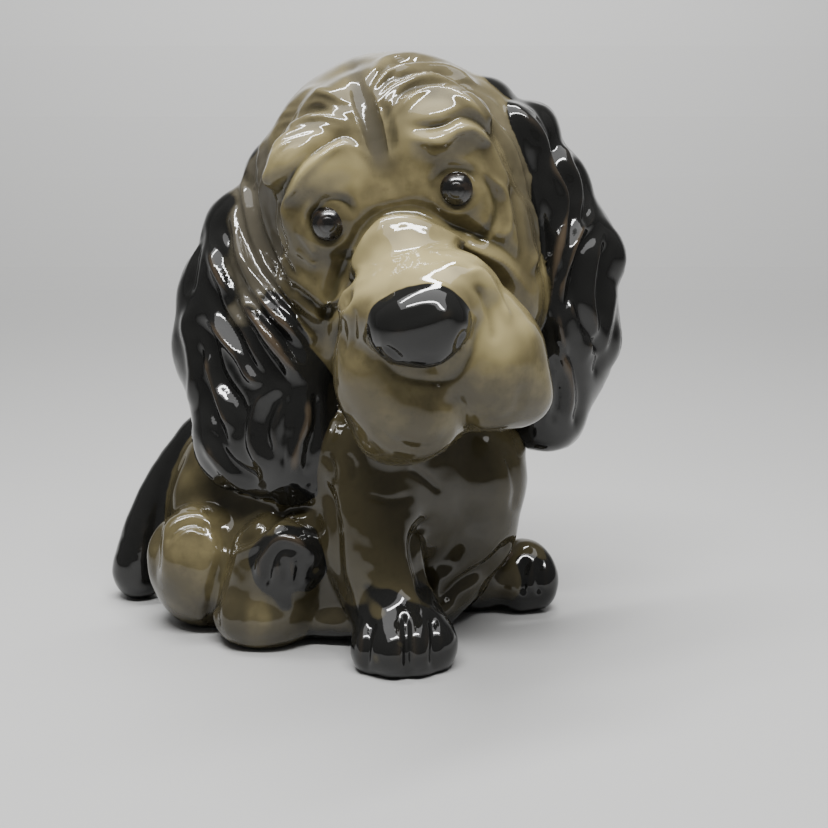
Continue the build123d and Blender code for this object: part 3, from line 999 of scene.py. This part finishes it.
for name, place in (("right_eye", rightEye), ("left_eye", leftEye)):
    bead = bmesh.new()
    centre, axis, aside = Vector(place), Vector(aheadOfHead), Vector(acrossHead)
    outline = [centre + aside * radius + axis * ahead for radius, ahead in smoothLine(beadProfile, 4)]
    rim = [bead.verts.new(spot * mm) for spot in outline]
    wire = [bead.edges.new(pair) for pair in zip(rim, rim[1:])]
    bmesh.ops.spin(bead, geom=rim + wire, cent=centre * mm, axis=axis, angle=2 * math.pi, steps=48,
                   use_merge=True)
    bmesh.ops.remove_doubles(bead, verts=bead.verts, dist=0.005 * mm)
    bmesh.ops.recalc_face_normals(bead, faces=bead.faces)
    mesh = bpy.data.meshes.new(name + "Bead")
    bead.to_mesh(mesh)
    bead.free()
    mesh.polygons.foreach_set("use_smooth", np.ones(len(mesh.polygons), bool))
    mesh.materials.append(beadGlaze)
    beadObject = bpy.data.objects.new(name + "Bead", mesh)
    bpy.context.scene.collection.objects.link(beadObject)
    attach(beadObject, "root")
    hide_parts(name)
print("eyes set")

# stage
floorMesh = bpy.data.meshes.new("floor")
work = bmesh.new()
bmesh.ops.create_grid(work, x_segments=1, y_segments=80, size=4)
for vertex in work.verts:   # the paper sweeps up behind
    vertex.co.z = max(vertex.co.y - 0.8, 0) ** 2 * 0.9
work.to_mesh(floorMesh)
work.free()
floor = bpy.data.objects.new("floor", floorMesh)
bpy.context.scene.collection.objects.link(floor)
paper = bpy.data.materials.new("paper")
paper.use_nodes = True
paper.node_tree.nodes["Principled BSDF"].inputs["Base Color"].default_value = (*linear("#acacab"), 1)
floorMesh.materials.append(paper)

world = bpy.data.worlds.new("studio")
bpy.context.scene.world = world
world.use_nodes = True
world.node_tree.nodes["Background"].inputs["Color"].default_value = (1, 1, 1, 1)
world.node_tree.nodes["Background"].inputs["Strength"].default_value = 0.14

lamps = {   # place, aim and size in metres, power in watts
    "overhead": ((0.0, -0.1, 1.0), (0, 0, 0), (1.2, 0.9), 9),
    "frontTube": ((0.02, -0.26, 0.62), (0.01, 0, 0.09), (0.5, 0.04), 5.5),
    "backTube": ((-0.05, 0.12, 0.6), (0.01, 0, 0.09), (0.5, 0.035), 4),
    "backdropLight": ((0.0, 0.9, 1.3), (0, 2.4, 0.5), (1.5, 0.3), 40),
}
for name, (place, aim, size, power) in lamps.items():
    lamp = bpy.data.lights.new(name, "AREA")
    lamp.shape = "RECTANGLE"
    lamp.size, lamp.size_y = size
    lamp.energy = power
    lampObject = bpy.data.objects.new(name, lamp)
    lampObject.location = place
    lampObject.rotation_euler = (Vector(aim) - Vector(place)).to_track_quat("-Z", "Y").to_euler()
    bpy.context.scene.collection.objects.link(lampObject)

camera = bpy.data.cameras.new("camera")
camera.sensor_width = 36
camera.lens = 18 / math.tan(math.radians(view["fieldOfView"] / 2))
camera.clip_start = 0.01
cameraObject = bpy.data.objects.new("camera", camera)
cameraObject.location = Vector(eyePoint * mm)
cameraObject.rotation_euler = Vector(sightLine).to_track_quat("-Z", "Y").to_euler()
bpy.context.scene.collection.objects.link(cameraObject)
bpy.context.scene.camera = cameraObject
print("stage lit")
